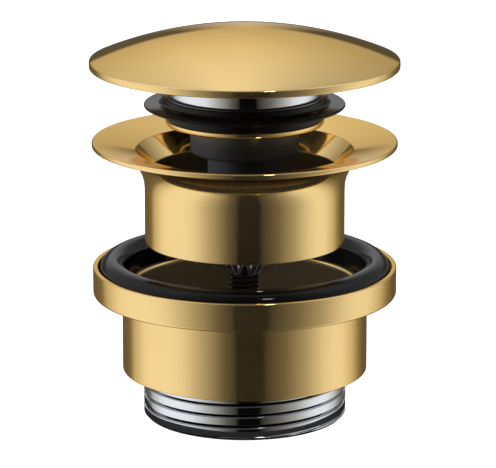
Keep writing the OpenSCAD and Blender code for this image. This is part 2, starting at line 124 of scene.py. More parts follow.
SPIDER_RIB_PROUD = 1.4
SCREW_R = 3
SCREW_PITCH = 1
SCREW_DEPTH = 0.61
SCREW_HOLE_R = 3.1
SCREW_HEAD_H = 3.5
SCREW_SOCKET_AF = 4
SCREW_SOCKET_DEEP = 2
CUP_R = 25.3
CUP_BORE_R = 22.7
CUP_HOLE_R = 19.6
CUP_FLOOR = 2.5
CUP_FLOOR_ROUND = 2
CUP_RIM_H = 5.9
CUP_RIM_WALL = 1.1
CUP_SEAT_DEEP = 3.75
CUP_EDGE = 0.3
CUP_BORE_EDGE = 0.8
CUP_UNDER_EDGE = 0.6
SEAL_BEAD_W = 5.4
SEAL_FOOT_W = 0.9
THREAD_PITCH = 2.309
THREAD_DEPTH = 1.478
THREAD_CHAMFER = 0.6
THREAD_TOP = 8.85
THREAD_FADE = 1
ROOT_SHARPNESS = 16
TAIL_BORE_R = 18.155
TAIL_SPIGOT_R = 19.555
TAIL_LIP_R = 16.755
TAIL_LIP_H = 1.5
BRIDGE_RING_W = 2
BRIDGE_RING_H = 2.6
BRIDGE_RIB_T = 2.4
BRIDGE_HUB_R = 7.42
BRIDGE_ROOF = 2.3
NUT_AF = 10
NUT_H = 5
WIRE_R = 0.45
SPRING_TURNS = 9
RIBS = 4
SINK = 0.4
TOUCH_GAP = 0.02

# Light of the studio as reflected brightness, by degrees of azimuth from the camera to the right
LOW_LIGHT = [(-180, 0.13), (-148, 0.14), (-138, 0.2), (-128, 0.58), (-110, 0.93), (-98, 0.99),
             (-78, 0.99), (-62, 0.9), (-40, 0.47), (-20, 0.13), (-9, 0.04), (-7, 0.003), (17, 0.003),
             (19, 0.032), (40, 0.165), (60, 0.43), (80, 0.82), (92, 0.95), (106, 0.95), (122, 0.68),
             (136, 0.3), (150, 0.14), (180, 0.13)]
MID_LIGHT = [(-180, 0.7), (-179, 0.6), (-176, 0.1), (-150, 0.12), (-140, 0.35), (-125, 0.6),
             (-105, 0.93), (-72, 0.95), (-45, 0.5), (-20, 0.15), (0, 0.05), (20, 0.08), (45, 0.22),
             (70, 0.55), (92, 0.93), (108, 0.93), (125, 0.6), (140, 0.3), (150, 0.12), (176, 0.1),
             (179, 0.6), (180, 0.7)]
HIGH_LIGHT = [(-180, 0.84), (-172, 0.86), (-162, 0.7), (-145, 0.5), (-125, 0.7), (-105, 0.95),
              (-72, 0.95), (-45, 0.5), (-20, 0.16), (0, 0.07), (20, 0.1), (45, 0.25), (70, 0.6), (92, 0.93),
              (108, 0.93), (130, 0.6), (148, 0.4), (162, 0.53), (172, 0.72), (180, 0.84)]
ZENITH_LIGHT = 0.7

# What each channel of the low light loses where it is dim
WARMTH = (0, 0.09, 0.3)

# Sines of elevation between which one band of light gives way to the next, and the gain within a band
MID_FROM = (-0.1, 0)
HIGH_FROM = (0.15, 0.21)
ZENITH_FROM = (0.88, 0.98)
STEEP_LIMITS = (-0.94, -0.8)
STEEP_GAIN = (0.05, 1)
HIGH_LIMITS = (0, 0.8)
HIGH_GAIN = (0.68, 1.12)

# Floor and card, both just under the part, and the distance of the lamps
FLOOR_HALF = 3000
FLOOR_DROP = 0.02
FLOOR_GLOW = 0.6
CARD_R = 27
CARD_DROP = 0.01
LAMP_REACH = 900

GOLD = (0.89, 0.655, 0.295)
CHROME = (0.785, 0.81, 0.845)
STEEL = (0.60, 0.60, 0.61)
DARK_STEEL = (0.2, 0.2, 0.21)
BARE_BRASS = (0.42, 0.34, 0.21)
DULL_BRASS = (0.2, 0.155, 0.08)
# Painted shade under the flange: a dark brass colour standing in for the shade there
UNDER_SHADE = (0.16, 0.12, 0.075)
RUBBER = (0.004, 0.0035, 0.0035)
PLASTIC = (0.04, 0.042, 0.047)
PALE = (0.94, 0.94, 0.94)
BLACK = (0.01, 0.01, 0.01)
GOLD_METALLIC = 0.97
EDGE_WHITE = 0.2
MATT = 0.9

# Part of a noise texture's range that is used
NOISE_LOW = 0.3
NOISE_HIGH = 0.7

# Where the polish ends: its blend, and the limits in radius and in depth of the painted shade on the
# flange's underside
BARE_BLEND = 0.1
UNDER_RADII = (22, 24)
UNDER_DEPTHS = (2.3, 2)


def size(node):
    """Outer radius, foot and top of a CAD node, in millimetres."""
    low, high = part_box(node)
    return high.x / MM, low.z / MM, high.z / MM


def arc(x, z, radius, start, end):
    """Points of an arc about (x, z), between two angles in radians."""
    steps = max(2, math.ceil(abs(end - start) / ARC_STEP))
    angles = [start + (end - start) * i / steps for i in range(steps + 1)]
    return [(x + radius * math.cos(a), z + radius * math.sin(a)) for a in angles]


def outline(corners):
    """Points of an outline whose corners are (radius, height) or (radius, height, rounding)."""
    points = []
    count = len(corners)
    for i, corner in enumerate(corners):
        here = Vector(corner[:2])
        if len(corner) == 2:
            points.append(tuple(here))
            continue
        before = Vector(corners[i - 1][:2]) - here
        after = Vector(corners[(i + 1) % count][:2]) - here
        half = before.angle(after) / 2
        room = min(before.length, after.length) * ROUND_SHARE
        reach = min(corner[2] / math.tan(half), room)
        radius = reach * math.tan(half)
        centre = here + (before.normalized() + after.normalized()).normalized() * radius / math.sin(half)
        first = here + before.normalized() * reach - centre
        turn = first.angle_signed(here + after.normalized() * reach - centre)
        start = math.atan2(first.y, first.x)
        points += arc(centre.x, centre.y, radius, start, start - turn)
    return points


def hexagon(across_flats):
    """Radius of a hexagon as a function of the angle."""
    def radius(angle):
        return across_flats / 2 / math.cos(angle % math.radians(60) - math.radians(30))
    return radius


def skin(mesh, rings, closed, columns=COLUMNS):
    """Faces between rings about the axis; a ring is (radius or function of the angle, height)."""
    angles = [2 * math.pi * i / columns for i in range(columns)]
    loops = []
    for radius, height in rings:
        reach = radius if callable(radius) else lambda angle, fixed=radius: fixed
        around = [(reach(a) * math.cos(a), reach(a) * math.sin(a), height) for a in angles]
        spots = around[:1] if radius == 0 else around
        loops.append([mesh.verts.new(Vector(spot) * MM) for spot in spots])
    pairs = list(zip(loops, loops[1:]))
    if closed:
        pairs.append((loops[-1], loops[0]))
    for lower, upper in pairs:
        for i in range(columns):
            j = (i + 1) % columns
            foot = [lower[i % len(lower)], lower[j % len(lower)]]
            head = [upper[j % len(upper)], upper[i % len(upper)]]
            corners = list(dict.fromkeys(foot + head))
            if len(corners) > 2:
                mesh.faces.new(corners)


def helix_radius(crest, depth, pitch, foot, height):
    """Radius of a rounded right-hand thread at one height, as a function of the angle."""
    def radius(angle):
        phase = (height - foot) / pitch - angle / (2 * math.pi)
        return crest - depth * ((1 - math.cos(2 * math.pi * phase)) / 2) ** ROOT_SHARPNESS
    return radius


def thread(mesh, crest, depth, pitch, foot, top, chamfer, columns=COLUMNS):
    """Helical thread surface that fades in above a chamfer; returns the radii of its two ends."""
    rows = 26
    turns = math.ceil((top - foot) / pitch) + 1

    def spot(row, column):
        angle = 2 * math.pi * column / columns
        height = min(max(foot + pitch * (row / rows - 1 + column / columns), foot), top)
        cut = depth * min(max((height - foot - chamfer) / THREAD_FADE, 0), 1)
        wave = helix_radius(crest, cut, pitch, foot, height)(angle)
        radius = min(wave, crest - chamfer + height - foot)
        return Vector((radius * math.cos(angle), radius * math.sin(angle), height)) * MM

    grid = []
    for column in range(columns):
        grid.append([mesh.verts.new(spot(row, column)) for row in range(turns * rows + 1)])
    for column in range(columns):
        shift = rows if column == columns - 1 else 0
        here = grid[column]
        there = grid[(column + 1) % columns]
        for row in range(turns * rows - shift):
            mesh.faces.new([here[row], there[row + shift], there[row + shift + 1], here[row + 1]])

    return crest - chamfer, helix_radius(crest, depth, pitch, foot, top)


def plate(mesh, points, thickness, angle):
    """Upright rib with softened edges, from an outline of radius and height, at an angle about the axis."""
    rib = bmesh.new()
    side = Vector((-math.sin(angle), math.cos(angle), 0)) * thickness / 2
    out = Vector((math.cos(angle), math.sin(angle), 0))
    front = [rib.verts.new((out * x + side + Vector((0, 0, z))) * MM) for x, z in points]
    back = [rib.verts.new((out * x - side + Vector((0, 0, z))) * MM) for x, z in points]
    rib.faces.new(front)
    rib.faces.new(back[::-1])
    for i in range(len(points)):
        rib.faces.new([front[i - 1], back[i - 1], back[i], front[i]])
    bmesh.ops.recalc_face_normals(rib, faces=rib.faces)
    bmesh.ops.bevel(rib, geom=rib.edges[:], offset=NEAT * MM, segments=2, affect="EDGES", profile=0.5)
    part = bpy.data.meshes.new("rib")
    rib.to_mesh(part)
    rib.free()
    mesh.from_mesh(part)
    bpy.data.meshes.remove(part)


def piece(name, mesh, body, nodes, material):
    """Object from a mesh under construction, riding on a body in place of its CAD nodes."""
    bmesh.ops.remove_doubles(mesh, verts=mesh.verts, dist=MERGE_M)
    bmesh.ops.dissolve_degenerate(mesh, edges=mesh.edges, dist=SLIVER_M)
    bmesh.ops.recalc_face_normals(mesh, faces=mesh.faces)
    data = bpy.data.meshes.new(name)
    mesh.to_mesh(data)
    mesh.free()
    data.shade_smooth()
    data.set_sharp_from_angle(angle=SHARP_ANGLE)
    data.materials.append(material)
    made = bpy.data.objects.new(name, data)
    bpy.context.scene.collection.objects.link(made)
    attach(made, body)
    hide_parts(*nodes)
    return made


def turned(name, corners, body, node, material, closed=True):
    """Turned piece: an outline of rounded corners swept about the axis."""
    mesh = bmesh.new()
    skin(mesh, outline(corners), closed)
    piece(name, mesh, body, [node], material)


# Materials

def span(tree, source, limits, values, interpolation="LINEAR"):
    """A value that goes from one number to another as the source passes between two limits."""
    node = tree.nodes.new("ShaderNodeMapRange")
    node.interpolation_type = interpolation
    node.inputs["From Min"].default_value = limits[0]
    node.inputs["From Max"].default_value = limits[1]
    node.inputs["To Min"].default_value = values[0]
    node.inputs["To Max"].default_value = values[1]
    tree.links.new(source, node.inputs["Value"])
    return node.outputs["Result"]


def smooth(tree, source, limits, values):
    """A span with a soft start and end."""
    return span(tree, source, limits, values, "SMOOTHSTEP")


def shade(color, share):
    """The same colour, lighter or darker."""
    return tuple(channel * share for channel in color)


class Shader:
    """A Principled material under construction, with textures in the object's own metres."""

    def __init__(self, name, color, metallic=0, roughness=0.5):
        self.material = bpy.data.materials.new(name)
        self.material.use_nodes = True
        self.tree = self.material.node_tree
        self.surface = self.tree.nodes["Principled BSDF"]
        self.surface.inputs["Base Color"].default_value = (*color, 1)
        self.surface.inputs["Metallic"].default_value = metallic
        self.surface.inputs["Roughness"].default_value = roughness
        self.coordinates = self.tree.nodes.new("ShaderNodeTexCoord")

    def noise(self, scale, stretch=(1, 1, 1), detail=3):
        """Noise over the object, with features of about 1 / scale metres."""
        mapping = self.tree.nodes.new("ShaderNodeMapping")
        mapping.inputs["Scale"].default_value = stretch
        texture = self.tree.nodes.new("ShaderNodeTexNoise")
        texture.inputs["Scale"].default_value = scale
        texture.inputs["Detail"].default_value = detail
        self.tree.links.new(self.coordinates.outputs["Object"], mapping.inputs["Vector"])
        self.tree.links.new(mapping.outputs["Vector"], texture.inputs["Vector"])
        return texture.outputs["Fac"]

    def vary(self, socket, source, low, high):
        """A number on the shader that follows a texture between two values."""
        value = span(self.tree, source, (NOISE_LOW, NOISE_HIGH), (low, high))
        self.tree.links.new(value, self.surface.inputs[socket])

    def tint(self, source, low, high):
        """A base colour that follows a texture between two colours."""
        ramp = self.tree.nodes.new("ShaderNodeValToRGB")
        ramp.color_ramp.elements[0].position = NOISE_LOW
        ramp.color_ramp.elements[0].color = (*low, 1)
        ramp.color_ramp.elements[1].position = NOISE_HIGH
        ramp.color_ramp.elements[1].color = (*high, 1)
        self.tree.links.new(source, ramp.inputs["Fac"])
        self.tree.links.new(ramp.outputs["Color"], self.surface.inputs["Base Color"])

    def radius(self):
        """Distance from the part's axis, in metres."""
        flat = self.tree.nodes.new("ShaderNodeVectorMath")
        flat.operation = "MULTIPLY"
        flat.inputs[1].default_value = (1, 1, 0)
        reach = self.tree.nodes.new("ShaderNodeVectorMath")
        reach.operation = "LENGTH"
        self.tree.links.new(self.coordinates.outputs["Object"], flat.inputs[0])
        self.tree.links.new(flat.outputs["Vector"], reach.inputs[0])
        return reach.outputs["Value"]

    def height(self):
        """Height above the foot of the part, in metres."""
        parts = self.tree.nodes.new("ShaderNodeSeparateXYZ")
        self.tree.links.new(self.coordinates.outputs["Object"], parts.inputs["Vector"])
        return parts.outputs["Z"]

    def bare_or_shaded(self, plating, color, roughness):
        """A duller and rougher metal where the share of plating is zero: bare metal, or painted shade under
        the flange.
        """
        for kind, socket, plain in (("RGBA", "Base Color", (*color, 1)), ("FLOAT", "Roughness", roughness)):
            mix = self.tree.nodes.new("ShaderNodeMix")
            mix.data_type = kind
            ends = [side for side in mix.inputs if side.enabled]
            ends[1].default_value = plain
            polished = self.surface.inputs[socket].links[0].from_socket
            self.tree.links.new(plating, ends[0])
            self.tree.links.new(polished, ends[2])
            mixed = [side for side in mix.outputs if side.enabled][0]
            self.tree.links.new(mixed, self.surface.inputs[socket])

    def bare_inside(self, color, roughness, radius):
        """Bare metal inside a radius about the axis, where the plating does not reach."""
        limits = (radius * MM, (radius + BARE_BLEND) * MM)
        self.bare_or_shaded(span(self.tree, self.radius(), limits, (0, 1)), color, roughness)

    def painted_shade_under(self, color, roughness, radii, heights):
        """Painted shade, a dark and rough colour, outside a radius and below a height, both with a soft
        limit.
        """
        inside = span(self.tree, self.radius(), (radii[0] * MM, radii[1] * MM), (1, 0))
        above = span(self.tree, self.height(), (heights[0] * MM, heights[1] * MM), (0, 1))
        either = self.tree.nodes.new("ShaderNodeMath")
        either.operation = "MAXIMUM"
        self.tree.links.new(inside, either.inputs[0])
        self.tree.links.new(above, either.inputs[1])
        self.bare_or_shaded(either.outputs["Value"], color, roughness)

    def relief(self, source, height):
        """Bump from a texture, in metres of height."""
        bump = self.tree.nodes.new("ShaderNodeBump")
        bump.inputs["Distance"].default_value = height
        self.tree.links.new(source, bump.inputs["Height"])
        self.tree.links.new(bump.outputs["Normal"], self.surface.inputs["Normal"])


def plated(name, color, metallic=1):
    """Polished plating: faint clouds in the polish and a trace of orange peel."""
    made = Shader(name, color, metallic)
    edge = [EDGE_WHITE + (1 - EDGE_WHITE) * channel for channel in color]
    made.surface.inputs["Specular Tint"].default_value = (*edge, 1)
    made.tint(made.noise(scale=60), low=shade(color, 0.985), high=shade(color, 1.015))
    made.vary("Roughness", made.noise(scale=180), low=0.045, high=0.075)
    made.relief(made.noise(scale=700, detail=1), height=0.0000008)
    return made


def turned_steel(name, color, roughness):
    """Turned steel with fine rings round the axis."""
    made = Shader(name, color, metallic=1)
    rings = made.noise(scale=900, stretch=(0.05, 0.05, 3))
    made.tint(rings, low=shade(color, 0.9), high=shade(color, 1.08))
    made.vary("Roughness", rings, low=roughness * 0.75, high=roughness * 1.25)
    made.relief(rings, height=0.000008)
    return made.material


def moulded_rubber(name):
    """Smooth black rubber with a dull bloom in patches."""
    made = Shader(name, RUBBER)
    made.tint(made.noise(scale=120), low=shade(RUBBER, 0.8), high=shade(RUBBER, 1.3))
    made.surface.inputs["Specular IOR Level"].default_value = 0.18
    made.vary("Roughness", made.noise(scale=260), low=0.06, high=0.1)
    made.relief(made.noise(scale=2500), height=0.000003)
    return made.material


def moulded_plastic(name):
    """Dark satin plastic with a fine moulded grain."""
    made = Shader(name, PLASTIC)
    made.tint(made.noise(scale=90), low=shade(PLASTIC, 0.88), high=shade(PLASTIC, 1.12))
    made.vary("Roughness", made.noise(scale=400), low=0.3, high=0.38)
    made.relief(made.noise(scale=5000), height=0.000004)
    return made.material


def flange_plating():
    """Gold with a dull bore and painted shade, dark and rough, on the underside."""
    made = plated("flange_gold_plate", GOLD, GOLD_METALLIC)
    top = size("basin_flange")[2]
    heights = [top - depth for depth in UNDER_DEPTHS]
    made.bare_inside(DULL_BRASS, roughness=0.4, radius=THROAT_R + FIT)
    # Painted shade on the flange's underside, where it lies under the flange
    made.painted_shade_under(UNDER_SHADE, roughness=0.35, radii=UNDER_RADII, heights=heights)
    return made.material


def cup_plating():
    """Gold with bare brass inside the cup."""
    made = plated("cup_gold_plate", GOLD, GOLD_METALLIC)
    made.bare_inside(BARE_BRASS, roughness=0.5, radius=CUP_BORE_R + 2 * FIT)
    return made.material


gold = plated("gold_plate", GOLD, GOLD_METALLIC).material
chrome = plated("chrome_plate", CHROME).material
flange_gold = flange_plating()
cup_gold = cup_plating()
steel = turned_steel("turned_steel", STEEL, roughness=0.28)
dark_steel = turned_steel("blackened_steel", DARK_STEEL, roughness=0.14)
rubber = moulded_rubber("black_rubber")
plastic = moulded_plastic("satin_plastic")


# Plug

def plug_cap():
    r, foot, crown = size("plug_cap")
    sag = crown - foot - CAP_RIM_H
    sphere_r = (r * r + sag * sag) / (2 * sag)
    steps = 28

    def dome(x, inset):
        return crown - sphere_r + math.sqrt((sphere_r - inset) ** 2 - x * x)

    rim_in = r - CAP_RIM_W
    pad_z = foot + CAP_PAD_RISE
    top = [(r * i / steps, dome(r * i / steps, 0)) for i in range(steps)]
    under = [(rim_in + (CAP_PAD_R - rim_in) * i / steps) for i in range(steps + 1)]
    corners = top + [(r, foot + CAP_RIM_H, PLUMP), (r, foot, EASED), (rim_in, foot, SOFT)]
    corners += [(x, dome(x, CAP_SHELL)) for x in under]
    corners += [(CAP_PAD_R, pad_z, SOFT), (0, pad_z)]
    turned("cap_dome", corners, "plug_body", "plug_cap", gold, closed=False)


def seal_carrier():
    r, foot, top = size("seal_carrier")
    groove_r = r - CARRIER_GROOVE
    groove_top = size("lip_seal")[2]
    inner_r = groove_r - CARRIER_WALL
    turned("carrier_cup", [
        (NECK_R + FIT, foot), (groove_r, foot, FINE), (groove_r, groove_top), (r, groove_top, NEAT),
        (r, top, FINE), (inner_r, top, FINE), (inner_r, foot + CARRIER_FLOOR, FULL),
        (NECK_R + FIT, foot + CARRIER_FLOOR)], "plug_body", "seal_carrier", chrome)


def lip_seal():
    r, foot, top = size("lip_seal")
    carrier_r = size("seal_carrier")[0]
    inner_r = carrier_r - CARRIER_GROOVE + FIT
    foot_r = size("seal_ring")[0]
    collar_r = carrier_r + LIP_COLLAR_W
    lip = foot + LIP_RISE
    turned("plug_lip_seal", [
        (inner_r, foot), (foot_r, foot, FINE), (foot_r, lip, LIP_FILLET), (r, lip, LIP_T * ROUND_SHARE),
        (r, lip + LIP_T, LIP_T * ROUND_SHARE), (collar_r, lip + LIP_T, LIP_FILLET),
        (collar_r, top, LIP_COLLAR_ROUND),
        (inner_r, top)], "plug_body", "lip_seal", rubber)


def seal_ring():
    r, foot, top = size("seal_ring")
    turned("seal_clamp_ring", [
        (NECK_R + FIT, foot), (r, foot, PLUMP), (r, top, NEAT), (NECK_R + FIT, top)],
        "plug_body", "seal_ring", gold)


def push_sleeve():
    r, foot, top = size("push_sleeve")
    neck_z = foot + SLEEVE_H
    roof_z = top - SLEEVE_ROOF + TOUCH_GAP
    turned("plug_sleeve", [
        (0, top), (NECK_R, top, SOFT), (NECK_R, neck_z), (r, neck_z, FINE), (r, foot, WIDE),
        (CAVITY_R, foot, SOFT), (CAVITY_R, roof_z, FULL), (0, roof_z)],
        "plug_body", "push_sleeve", plastic, closed=False)


# Flange half

def latch_post():
    r, foot, top = size("latch_post")
    floor = foot + POST_WELL
    turned("guide_post", [
        (0, floor), (POST_BORE_R, floor, SOFT), (POST_BORE_R, foot), (r, foot), (r, top, FULL),
        (POST_BORE_R, top, FINE), (POST_BORE_R, floor + POST_FLOOR, FULL), (0, floor + POST_FLOOR)],
        "flange_body", "latch_post", plastic, closed=False)


def basin_flange():
    r, foot, top = size("basin_flange")
    under_z = top - FLANGE_EDGE
    dish_r = r - EDGE_ROUND
    throat_x = THROAT_R + THROAT_ROUND
    throat_run = dish_r - throat_x + THROAT_ROUND * math.sin(DISH_ANGLE)
    throat_z = top - THROAT_ROUND * math.cos(DISH_ANGLE) - throat_run * math.tan(DISH_ANGLE)
    under_x = COLLAR_R + UNDER_ROUND
    seat_in = dish_r - SEAT_W
    under_run = seat_in - under_x + UNDER_ROUND * math.sin(UNDER_ANGLE)
    fillet_z = under_z - UNDER_ROUND * math.cos(UNDER_ANGLE) - under_run * math.tan(UNDER_ANGLE)
    touch_x = throat_x - THROAT_ROUND * math.sin(SEAT_ANGLE)
    touch_z = throat_z + THROAT_ROUND * math.cos(SEAT_ANGLE)
    dish_slope = math.tan(DISH_ANGLE)
    seat_slope = math.tan(SEAT_ANGLE)
    edge_x = (top - dish_slope * dish_r - touch_z + seat_slope * touch_x) / (seat_slope - dish_slope)
    edge_z = top - dish_slope * (dish_r - edge_x)
    bore_z = touch_z - seat_slope * (touch_x - THROAT_R)
    corners = [(LEDGE_R, foot, FINE), (COLLAR_R, foot, FINE)]
    corners += arc(under_x, fillet_z, UNDER_ROUND, math.pi, math.pi / 2 + UNDER_ANGLE)
    corners += [(seat_in, under_z, SEAT_ROUND), (r, under_z, EDGE_ROUND), (r, top, EDGE_ROUND)]
    corners += [(edge_x, edge_z, FULL), (THROAT_R, bore_z, FULL)]
    corners += [(THROAT_R, foot + LEDGE_H), (LEDGE_R, foot + LEDGE_H, FINE)]
    turned("flange_trumpet", corners, "flange_body", "basin_flange", flange_gold)


def hub_spider():
    ring_r, tip_z, top = size("hub_spider")
    ring_z = top - SPIDER_RING_H
    ring_in = ring_r - SPIDER_RING_W
    socket_z = top - SPIDER_SOCKET_DEEP
    well_z = socket_z - SPIDER_WELL_DEEP
    mesh = bmesh.new()
    skin(mesh, outline([
        (SCREW_HOLE_R, tip_z), (SPIDER_TIP_R, tip_z, CRISP), (SPIDER_HUB_R, well_z, WIDE),
        (SPIDER_HUB_R, top, SOFT), (SPIDER_SOCKET_R, top, FINE), (SPIDER_SOCKET_R, socket_z),
        (SPIDER_WELL_R, socket_z), (SPIDER_WELL_R, well_z), (SCREW_HOLE_R, well_z)]), True)
    skin(mesh, outline([
        (ring_r, ring_z, FINE), (ring_r, top, SOFT), (ring_in, top, SOFT), (ring_in, ring_z, FINE)]), True)
    rib_foot = tip_z + SINK
    hub_in = SPIDER_HUB_R - SINK
    web = [
        (hub_in, top - SINK), (ring_in + SINK, top - SINK), (ring_in + SINK, ring_z),
        (SPIDER_HUB_R + 2 * SPIDER_RIB_PROUD, (ring_z + well_z) / 2 + SINK),
        (SPIDER_HUB_R + SPIDER_RIB_PROUD, well_z), (SPIDER_TIP_R + SPIDER_RIB_PROUD, rib_foot),
        (SPIDER_TIP_R, rib_foot), (hub_in, well_z)]
    for i in range(RIBS):
        plate(mesh, web, SPIDER_RIB_T, 2 * math.pi * i / RIBS)
    piece("spider_casting", mesh, "flange_body", ["hub_spider"], chrome)


def return_spring():
    r, foot, top = size("return_spring")
    coil_r = r - WIRE_R
    around = 12
    per_turn = 36
    rise = top - foot - 2 * WIRE_R
    dead = 2 * WIRE_R / rise

    def share(turn):
        if turn < 1:
            return dead * turn
        if turn > SPRING_TURNS - 1:
            return 1 - dead * (SPRING_TURNS - turn)
        return dead + (1 - 2 * dead) * (turn - 1) / (SPRING_TURNS - 2)

    mesh = bmesh.new()
    loops = []
    for i in range(SPRING_TURNS * per_turn + 1):
        turn = i / per_turn
        angle = 2 * math.pi * turn
        height = foot + WIRE_R + rise * share(turn)
        loop = []
        for j in range(around):
            side = 2 * math.pi * j / around
            reach = coil_r + WIRE_R * math.cos(side)
            level = height + WIRE_R * math.sin(side)
            spot = Vector((reach * math.cos(angle), reach * math.sin(angle), level))
            loop.append(mesh.verts.new(spot * MM))
        loops.append(loop)
    for lower, upper in zip(loops, loops[1:]):
        for j in range(around):
            mesh.faces.new([lower[j - 1], lower[j], upper[j], upper[j - 1]])
    mesh.faces.new(loops[0])
    mesh.faces.new(loops[-1])
    coil = piece("lift_spring", mesh, "flange_body", ["return_spring"], steel)
    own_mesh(coil)


def fixing_screw():
    head_r, foot, top = size("fixing_screw")
    head_z = top - SCREW_HEAD_H
    columns = 48
    mesh = bmesh.new()
    foot_radius, top_radius = thread(
        mesh, SCREW_R, SCREW_DEPTH, SCREW_PITCH, foot, head_z, SCREW_DEPTH, columns)
    skin(mesh, [(0, foot), (foot_radius, foot)], False, columns)
    crown = outline([(SCREW_R, head_z), (head_r, head_z, FINE), (head_r, top, PLUMP), (SCREW_R, top)])[1:-1]
    socket = hexagon(SCREW_SOCKET_AF)
    socket_z = top - SCREW_SOCKET_DEEP
    drive = [(socket, top), (socket, socket_z), (0, socket_z)]
    skin(mesh, [(top_radius, head_z), *crown, *drive], False, columns)
    piece("clamp_screw", mesh, "screw_body", ["fixing_screw"], dark_steel)


# Lower half

def lower_cup():
    r, foot, top = size("lower_cup")
    floor = foot + CUP_FLOOR
    rim_z = top - CUP_RIM_H
    pocket_r = r - CUP_RIM_WALL
    seat_z = top - CUP_SEAT_DEEP
    turned("outlet_cup", [
        (CUP_HOLE_R, foot), (CUP_R, foot, CUP_EDGE), (CUP_R, rim_z, CRISP), (r, rim_z, CUP_UNDER_EDGE),
        (r, top, CUP_EDGE), (pocket_r, top, CUP_EDGE), (pocket_r, seat_z, FINE),
        (CUP_BORE_R, seat_z, CUP_BORE_EDGE), (CUP_BORE_R, floor, CUP_FLOOR_ROUND),
        (CUP_HOLE_R, floor, FINE)],
        "lower_body", "lower_cup", cup_gold)


def cup_seal():
    r, foot, top = size("cup_seal")
    bead_r = SEAL_BEAD_W / 2
    corners = [(r - SEAL_BEAD_W - SEAL_FOOT_W, foot, FINE), (r, foot, SOFT)]
    corners += arc(r - bead_r, top - bead_r, bead_r, 0, math.pi)
    turned("cup_bead_seal", corners, "lower_body", "cup_seal", rubber)


def outlet_tail():
    crest, foot, top = size("outlet_tail")
    lip_under = top - TAIL_LIP_H
    mesh = bmesh.new()
    foot_radius, top_radius = thread(
        mesh, crest, THREAD_DEPTH, THREAD_PITCH, foot, THREAD_TOP, THREAD_CHAMFER)
    inside = outline([
        (TAIL_SPIGOT_R, THREAD_TOP), (TAIL_SPIGOT_R, top, FINE), (TAIL_LIP_R, top, FINE),
        (TAIL_LIP_R, lip_under, FINE), (TAIL_BORE_R, lip_under), (TAIL_BORE_R, foot, SOFT)])
    skin(mesh, [(top_radius, THREAD_TOP), *inside, (foot_radius, foot)], False)
    piece("outlet_thread_tail", mesh, "lower_body", ["outlet_tail"], chrome)


def screw_bridge():
    r, foot, top = size("screw_bridge")
    ring_in = r - BRIDGE_RING_W
    ring_top = foot + BRIDGE_RING_H
    nut_top = top - BRIDGE_ROOF
    hub_z = nut_top - NUT_H - SINK
    pocket = hexagon(NUT_AF + 2 * FIT)
    mesh = bmesh.new()
    skin(mesh, outline([
        (r, foot, SOFT), (r, ring_top, FINE), (ring_in, ring_top, SOFT), (ring_in, foot, SOFT)]), True)
    shell = outline([
        (BRIDGE_HUB_R - 1, hub_z), (BRIDGE_HUB_R, hub_z, FINE), (BRIDGE_HUB_R, top, WIDE),
        (SCREW_HOLE_R, top, FINE), (SCREW_HOLE_R, nut_top)])[1:]
    skin(mesh, [(pocket, hub_z), *shell, (pocket, nut_top)], True)
    rib_in = BRIDGE_HUB_R - SINK
    rib_out = ring_in + SINK
    web = [(rib_in, hub_z + SINK), (rib_out, foot + SINK), (rib_out, ring_top - SINK), (rib_in, nut_top)]
    for i in range(RIBS):
        plate(mesh, web, BRIDGE_RIB_T, 2 * math.pi * i / RIBS)
    piece("bridge_casting", mesh, "lower_body", ["screw_bridge"], chrome)


for build in (plug_cap, seal_carrier, lip_seal, seal_ring, push_sleeve, latch_post, basin_flange,
              hub_spider, return_spring, fixing_screw, lower_cup, cup_seal, outlet_tail, screw_bridge):
    build()

kept_nodes = {"cap_stud": steel, "drum_retainer": steel, "spring_seat": steel, "track_pins": steel,
              "screw_washer": steel, "bridge_nut": steel, "cam_drum": plastic, "tail_gasket": rubber}
for name, finish in kept_nodes.items():
    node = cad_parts[name]
    node.data.materials.clear()
    node.data.materials.append(finish)


# Studio

def light_ramp(tree, stops, angle, warmth=(0, 0, 0)):
    """Brightness by azimuth, from stops in degrees; warmth is what each channel loses where it is dim."""
    ramp = tree.nodes.new("ShaderNodeValToRGB")
    elements = ramp.color_ramp.elements
    while len(elements) < len(stops):
        elements.new(0.5)
    for element, (degrees, value) in zip(elements, stops):
        element.position = (degrees + 180) / 360
        element.color = (*[value * (1 - loss * (1 - value)) for loss in warmth], 1)
    tree.links.new(angle, ramp.inputs["Fac"])
    return ramp.outputs["Color"]


def product(tree, first, second):
    """A colour times a colour or a number."""
    node = tree.nodes.new("ShaderNodeVectorMath")
    node.operation = "MULTIPLY"
    tree.links.new(first, node.inputs[0])
    tree.links.new(second, node.inputs[1])
    return node.outputs["Vector"]


